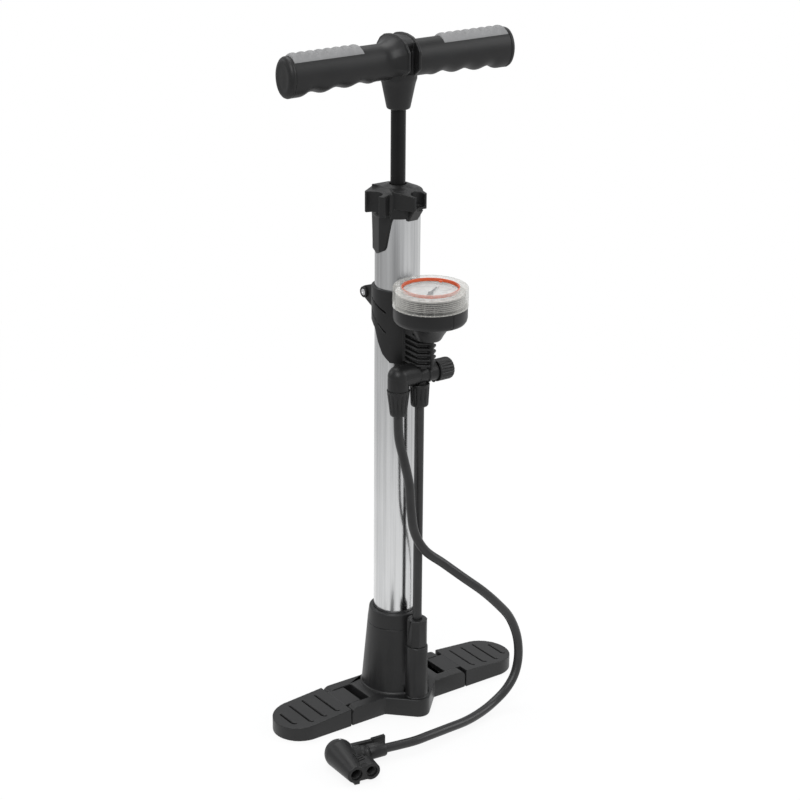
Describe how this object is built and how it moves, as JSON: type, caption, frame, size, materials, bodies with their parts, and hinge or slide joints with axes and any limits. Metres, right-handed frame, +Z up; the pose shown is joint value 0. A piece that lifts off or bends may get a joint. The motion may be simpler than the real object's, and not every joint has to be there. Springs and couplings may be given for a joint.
{
  "type": "floor pump",
  "caption": "Track-style floor pump with folding feet, slim barrel, sliding T-handle, round top gauge on a ribbed bracket, and a hose to a twin valve head with a lever.",
  "frame": {"origin": "on the floor, on the axis of the barrel", "axes": "+Z up along the barrel, +X along the handle and the feet, -Y towards the gauge"},
  "size_m": [0.251, 0.1556, 0.6014],
  "materials": {
    "black_plastic": "fine satin texture",
    "inner_plastic": "plain moulded",
    "black_rubber": "matt",
    "steel": "bright zinc",
    "barrel_aluminium": "polished with fine lengthwise lines",
    "black_rod": "black coated, semi gloss",
    "grey_pad": "soft matt",
    "brass": "plain",
    "dial_white": "printed matt",
    "needle_black": "black",
    "clear_lens": "clear moulded plastic",
    "marker_orange": "bright moulded"
  },
  "bodies": {
    "frame": {"base_body": "black_plastic", "barrel_collar": "black_plastic", "barrel_seal": "black_rubber", "left_foot_pin": "steel", "right_foot_pin": "steel", "barrel": "barrel_aluminium", "top_cap": "black_plastic", "top_bumper": "black_rubber", "gauge_bracket": "black_plastic", "clamp_bolt": "steel", "clamp_nut": "steel", "gauge_housing": "black_plastic", "gauge_movement": "brass", "dial_plate": "dial_white", "manifold": "black_plastic", "hose_elbow": "black_plastic", "elbow_seal": "black_rubber", "hose_nut": "black_plastic", "tube_nut": "black_plastic", "feed_tube": "black_plastic", "lower_gland": "black_plastic", "check_spring": "steel", "hose": "black_rubber", "head_body": "black_plastic", "lever_pin": "steel", "hose_sleeve": "black_plastic", "schrader_seal": "black_rubber", "presta_seal": "black_rubber"},
    "left_foot_body": {"left_foot": "black_plastic"},
    "right_foot_body": {"right_foot": "black_plastic"},
    "bush_body": {"rod_bush": "inner_plastic"},
    "handle_group": {"piston_rod": "black_rod", "rod_end": "steel", "piston_head": "inner_plastic", "piston_seal": "black_rubber", "piston_nut": "steel", "handle_body": "black_plastic", "handle_pin": "steel", "left_grip_pad": "grey_pad", "right_grip_pad": "grey_pad", "left_end_cap": "black_plastic", "right_end_cap": "black_plastic"},
    "needle_body": {"needle": "needle_black"},
    "lens_body": {"gauge_lens": "clear_lens", "marker_ring": "marker_orange"},
    "relief_cap_body": {"manifold_cap": "black_plastic"},
    "ball_body": {"check_ball": "black_rubber"},
    "lever_body": {"head_lever": "black_plastic"},
    "plunger_body": {"head_plunger": "inner_plastic"}
  },
  "joints": [
    {"name": "handle_turn", "type": "hinge", "parent": "frame", "child": "bush_body", "pos_m": [0, 0, 0.47], "axis": [0, 0, 1], "continuous": true},
    {"name": "handle_stroke", "type": "slide", "parent": "bush_body", "child": "handle_group", "axis": [0, 0, 1], "range_m": [-0.062, 0.33]},
    {"name": "left_foot_fold", "type": "hinge", "parent": "frame", "child": "left_foot_body", "pos_m": [-0.0558, 0, 0.0106], "axis": [0, 1, 0], "range_deg": [0, 90]},
    {"name": "right_foot_fold", "type": "hinge", "parent": "frame", "child": "right_foot_body", "pos_m": [0.0558, 0, 0.0106], "axis": [0, -1, 0], "range_deg": [0, 90]},
    {"name": "needle_sweep", "type": "hinge", "parent": "frame", "child": "needle_body", "pos_m": [-0.0025, -0.0506, 0.397], "axis": [0, 0, -1], "range_deg": [0, 250], "stiffness_Nm_per_rad": 0.00002},
    {"name": "lens_turn", "type": "hinge", "parent": "frame", "child": "lens_body", "pos_m": [-0.0025, -0.0506, 0.394], "axis": [0, 0, 1], "continuous": true},
    {"name": "relief_cap_turn", "type": "hinge", "parent": "frame", "child": "relief_cap_body", "pos_m": [0.02, -0.0335, 0.32], "axis": [1, 0, 0], "range_deg": [0, 180]},
    {"name": "check_ball_lift", "type": "slide", "parent": "frame", "child": "ball_body", "axis": [0, 0, 1], "range_m": [0, 0.002], "stiffness_N_per_m": 20, "springref_m": -0.0005, "deforming": ["check_spring"]},
    {"name": "lever_flip", "type": "hinge", "parent": "frame", "child": "lever_body", "pos_m": [-0.10595, -0.06942, 0.0096], "axis": [0, 0, 1], "range_deg": [0, 90]},
    {"name": "plunger_push", "type": "slide", "parent": "frame", "child": "plunger_body", "axis": [-0.1736, -0.9848, 0], "range_m": [0, 0.0011]}
  ],
  "couplings": [
    {"joint": "plunger_push", "follows": "lever_flip", "m_per_rad": 0.00070028}
  ]
}
